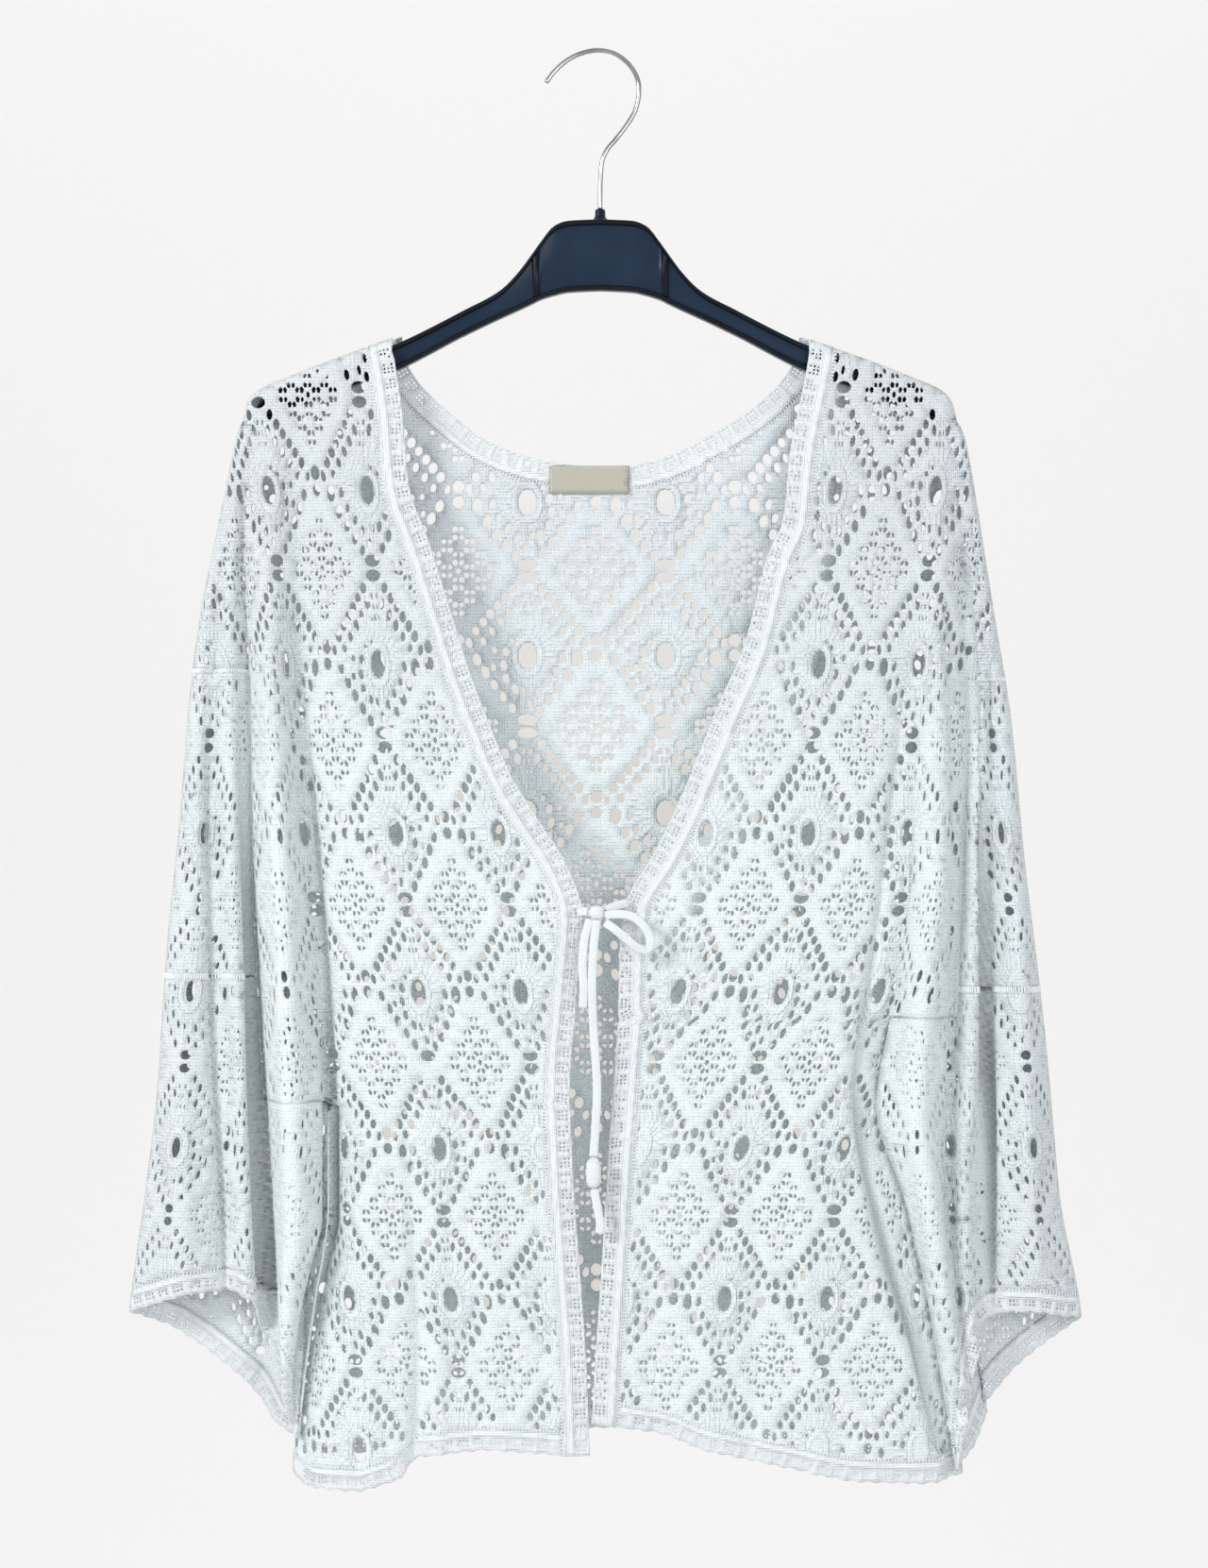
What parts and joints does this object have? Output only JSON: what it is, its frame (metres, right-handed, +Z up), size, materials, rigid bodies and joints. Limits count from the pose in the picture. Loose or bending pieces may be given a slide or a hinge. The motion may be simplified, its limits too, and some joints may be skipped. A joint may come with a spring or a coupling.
{
  "type": "macrame cardigan on a clothes hanger",
  "caption": "Open-front lace cardigan with drop shoulders, wide sleeves, openwork bands and one front tie, hung on a plastic clothes hanger with a wire hook.",
  "frame": {"origin": "the inside top of the hanger's hook, where a rail or a wall hook carries it", "axes": "+Z up, the garment's front faces -Y, +X to the viewer's right"},
  "size_m": [0.5836, 0.0584, 0.8791],
  "materials": {
    "lace_cloth": "matte white raschel lace",
    "band_cloth": "matte white knitted band",
    "label_tape": "woven beige tape",
    "hanger_plastic": "moulded, softly glossy",
    "hook_wire": "polished wire"
  },
  "bodies": {
    "root": {"back": "lace_cloth", "front_left": "lace_cloth", "front_right": "lace_cloth", "sleeve_left_upper_front": "lace_cloth", "sleeve_left_upper_back": "lace_cloth", "sleeve_left_lower_front": "lace_cloth", "sleeve_left_lower_back": "lace_cloth", "sleeve_right_upper_front": "lace_cloth", "sleeve_right_upper_back": "lace_cloth", "sleeve_right_lower_front": "lace_cloth", "sleeve_right_lower_back": "lace_cloth", "front_band_left": "band_cloth", "front_band_right": "band_cloth", "back_neck_band": "band_cloth", "hem_left": "band_cloth", "hem_right": "band_cloth", "hem_back": "band_cloth", "cuff_left_front": "band_cloth", "cuff_left_back": "band_cloth", "cuff_right_front": "band_cloth", "cuff_right_back": "band_cloth", "neck_label": "label_tape", "tie_root_left": "band_cloth", "tie_root_right": "band_cloth", "tie_loop": "band_cloth", "tie_long": "band_cloth", "tie_short": "band_cloth", "tie_tail": "band_cloth", "tie_knot": "band_cloth", "tie_end_knot": "band_cloth", "hanger_body": "hanger_plastic", "hanger_collar": "hanger_plastic", "hook_wire": "hook_wire"}
  },
  "joints": []
}
